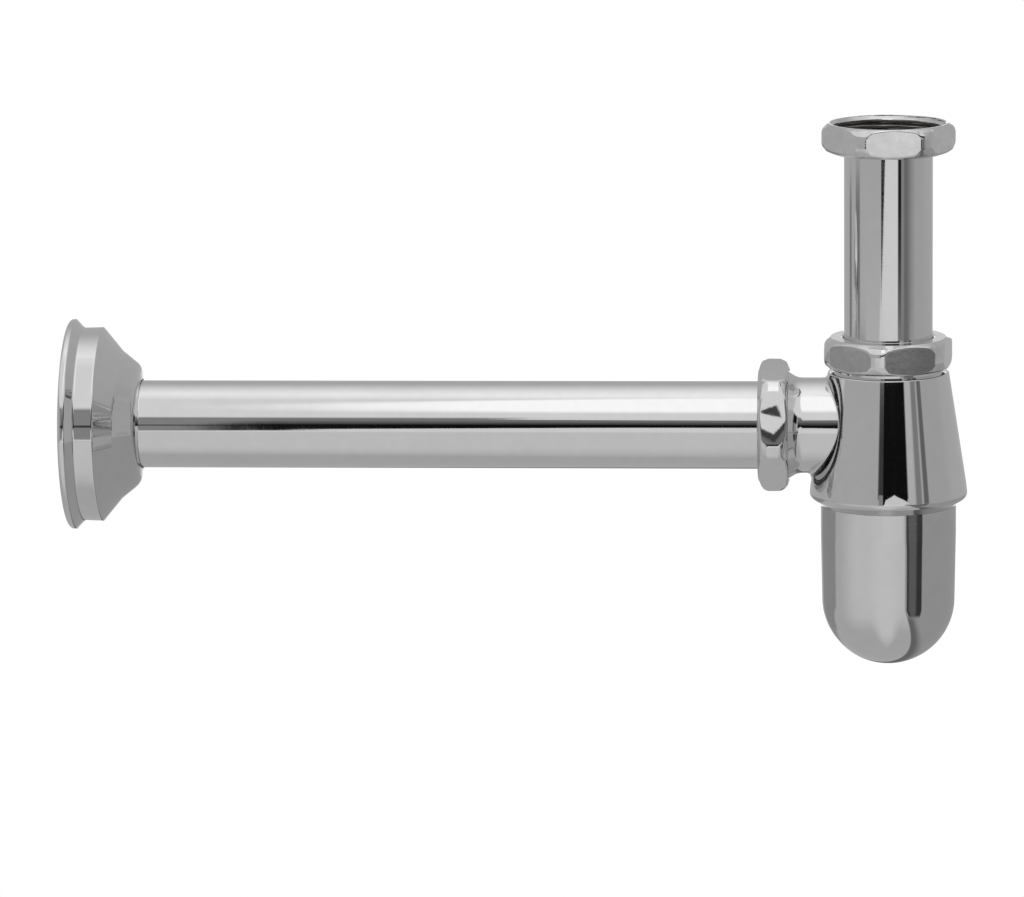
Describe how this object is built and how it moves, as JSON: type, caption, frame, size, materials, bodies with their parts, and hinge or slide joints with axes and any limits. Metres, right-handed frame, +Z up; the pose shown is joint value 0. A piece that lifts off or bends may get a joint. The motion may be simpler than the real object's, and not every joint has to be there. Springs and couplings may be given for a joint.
{
  "type": "bottle trap",
  "caption": "Chromed bottle trap for a wash basin: coupling nut, sliding inlet tube, cone-shaped body with a side neck, screw-off cup, outlet pipe and sliding wall flange.",
  "frame": {"origin": "middle of the washer's upper face, where the trap seals against the basin waste", "axes": "+Z up the inlet tube, -X along the outlet pipe to the wall"},
  "size_m": [0.3253, 0.077, 0.1975],
  "materials": {
    "chrome": "polished",
    "rubber": "matte",
    "nylon": "satin"
  },
  "bodies": {
    "trap_body": {"trap_body": "chrome"},
    "inlet_seal": {"inlet_cone_seal": "rubber"},
    "inlet_tube": {"inlet_tube": "chrome", "coupling_washer": "rubber"},
    "coupling_nut": {"coupling_nut": "chrome"},
    "inlet_ring": {"inlet_friction_ring": "nylon"},
    "inlet_slip_nut": {"inlet_slip_nut": "chrome"},
    "outlet_seal": {"outlet_cone_seal": "rubber"},
    "outlet_pipe": {"outlet_pipe": "chrome"},
    "wall_flange": {"wall_flange": "chrome"},
    "outlet_ring": {"outlet_friction_ring": "nylon"},
    "outlet_slip_nut": {"outlet_slip_nut": "chrome"},
    "cup_seal": {"cup_seal": "rubber"},
    "cup": {"cup": "chrome"}
  },
  "joints": [
    {"name": "inlet_swivel", "type": "hinge", "parent": "trap_body", "child": "inlet_seal", "pos_m": [0, 0, -0.0756], "axis": [0, 0, 1], "continuous": true},
    {"name": "inlet_tube_slide", "type": "slide", "parent": "inlet_seal", "child": "inlet_tube", "axis": [0, 0, 1], "range_m": [-0.014, 0.049]},
    {"name": "coupling_nut_turn", "type": "hinge", "parent": "inlet_tube", "child": "coupling_nut", "pos_m": [0, 0, 0], "axis": [0, 0, 1], "continuous": true},
    {"name": "inlet_ring_travel", "type": "slide", "parent": "trap_body", "child": "inlet_ring", "axis": [0, 0, 1], "range_m": [0, 0.00693]},
    {"name": "inlet_nut_turn", "type": "hinge", "parent": "inlet_ring", "child": "inlet_slip_nut", "pos_m": [0, 0, -0.0756], "axis": [0, 0, 1], "range_deg": [0, 1080]},
    {"name": "outlet_swivel", "type": "hinge", "parent": "trap_body", "child": "outlet_seal", "pos_m": [-0.0431, 0, -0.1045], "axis": [-1, 0, 0], "continuous": true},
    {"name": "outlet_pipe_slide", "type": "slide", "parent": "outlet_seal", "child": "outlet_pipe", "axis": [-1, 0, 0], "range_m": [-0.0075, 0.015]},
    {"name": "wall_flange_slide", "type": "slide", "parent": "outlet_pipe", "child": "wall_flange", "axis": [1, 0, 0], "range_m": [0, 0.21]},
    {"name": "outlet_ring_travel", "type": "slide", "parent": "trap_body", "child": "outlet_ring", "axis": [-1, 0, 0], "range_m": [0, 0.00693]},
    {"name": "outlet_nut_turn", "type": "hinge", "parent": "outlet_ring", "child": "outlet_slip_nut", "pos_m": [-0.0431, 0, -0.1045], "axis": [-1, 0, 0], "range_deg": [0, 1080]},
    {"name": "cup_travel", "type": "slide", "parent": "trap_body", "child": "cup_seal", "axis": [0, 0, -1], "range_m": [0, 0.00976]},
    {"name": "cup_turn", "type": "hinge", "parent": "cup_seal", "child": "cup", "pos_m": [0, 0, -0.1228], "axis": [0, 0, -1], "range_deg": [0, 2340]}
  ],
  "couplings": [
    {"joint": "inlet_ring_travel", "follows": "inlet_nut_turn", "m_per_rad": 0.00036749},
    {"joint": "outlet_ring_travel", "follows": "outlet_nut_turn", "m_per_rad": 0.00036749},
    {"joint": "cup_travel", "follows": "cup_turn", "m_per_rad": 0.00023873}
  ]
}
